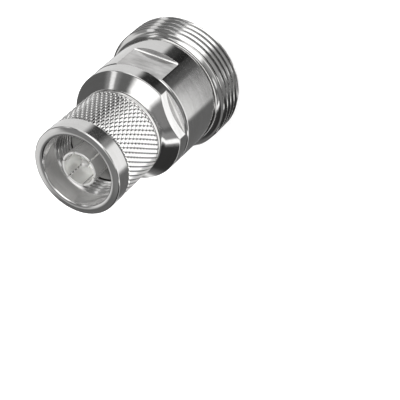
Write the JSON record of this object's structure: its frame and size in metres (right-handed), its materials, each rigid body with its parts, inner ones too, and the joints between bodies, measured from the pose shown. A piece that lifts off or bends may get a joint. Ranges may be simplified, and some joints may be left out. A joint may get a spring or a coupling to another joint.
{
  "type": "n type connector",
  "caption": "Straight coaxial adapter with a knurled-nut plug at one end and a large threaded jack with a slotted centre socket at the other.",
  "frame": {"origin": "centre of the jack's end face, on the axis", "axes": "+Z along the axis out of the plug's mouth; the barrel's wrench flats face +Y and -Y"},
  "size_m": [0.029, 0.029, 0.0444],
  "materials": {
    "silver_plated_contact": "smooth silver-like plating",
    "bright_nickel": "bright turned nickel plating",
    "nut_nickel": "bright nickel plating over a diamond knurl",
    "spring_bronze": "plain spring bronze",
    "white_fluoropolymer": "waxy white plastic",
    "grey_silicone": "matt silicone rubber",
    "black_rubber": "matt black rubber"
  },
  "bodies": {
    "adapter": {"jack_body": "bright_nickel", "plug_body": "bright_nickel", "plug_outer_contact": "silver_plated_contact", "plug_pin": "silver_plated_contact", "plug_insulator": "white_fluoropolymer", "mating_gasket": "grey_silicone", "jack_insulator": "white_fluoropolymer", "jack_socket": "silver_plated_contact", "body_o_ring": "black_rubber", "nut_retaining_ring": "spring_bronze"},
    "nut": {"coupling_nut": "nut_nickel"}
  },
  "joints": [
    {"name": "nut_turn", "type": "hinge", "parent": "adapter", "child": "nut", "pos_m": [0, 0, 0.0355], "axis": [0, 0, 1], "continuous": true}
  ]
}
